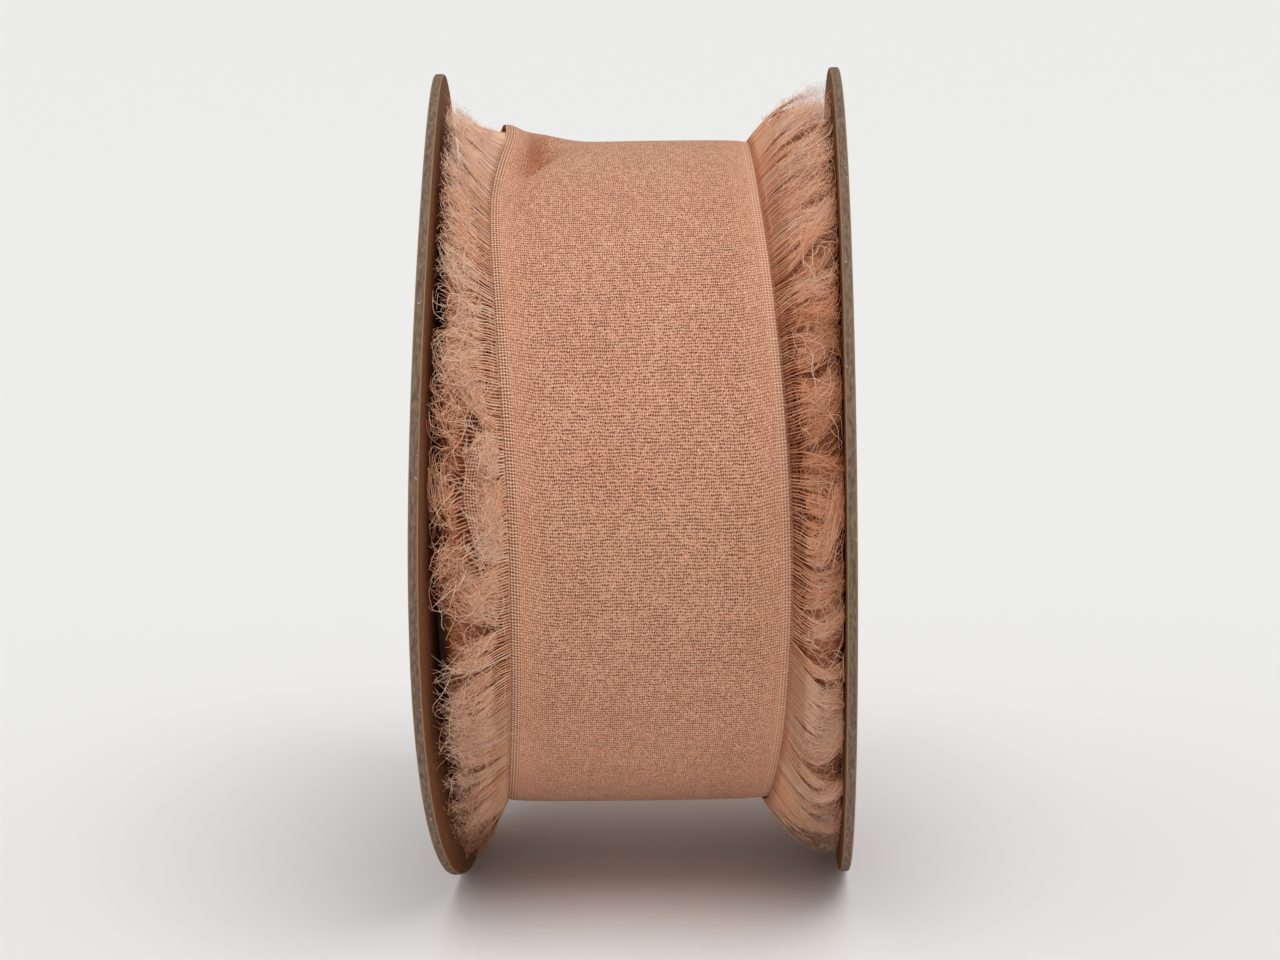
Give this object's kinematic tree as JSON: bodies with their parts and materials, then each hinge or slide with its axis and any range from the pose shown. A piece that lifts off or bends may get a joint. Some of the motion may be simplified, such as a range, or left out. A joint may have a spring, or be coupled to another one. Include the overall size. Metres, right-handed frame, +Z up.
{
  "type": "frayed chiffon ribbon on a card reel",
  "caption": "Chiffon ribbon with frayed edges, wound between two thin round card discs with a spindle hole.",
  "frame": {"origin": "on the surface that the reel stands on, under the middle of its outline", "axes": "+X along the reel's axis, from the left disc to the right one; +Y away from the side that is looked at; +Z up"},
  "size_m": [0.0434, 0.085, 0.0848],
  "materials": {
    "chiffon": "plain crepe weave, matt with a soft sheen",
    "frayed_yarn": "loose fine yarn, matt",
    "card": "raw grey board, matt"
  },
  "bodies": {
    "root": {"disc_left": "card", "disc_right": "card", "ribbon_roll": "chiffon", "frays_left": "frayed_yarn", "frays_right": "frayed_yarn"}
  },
  "joints": []
}
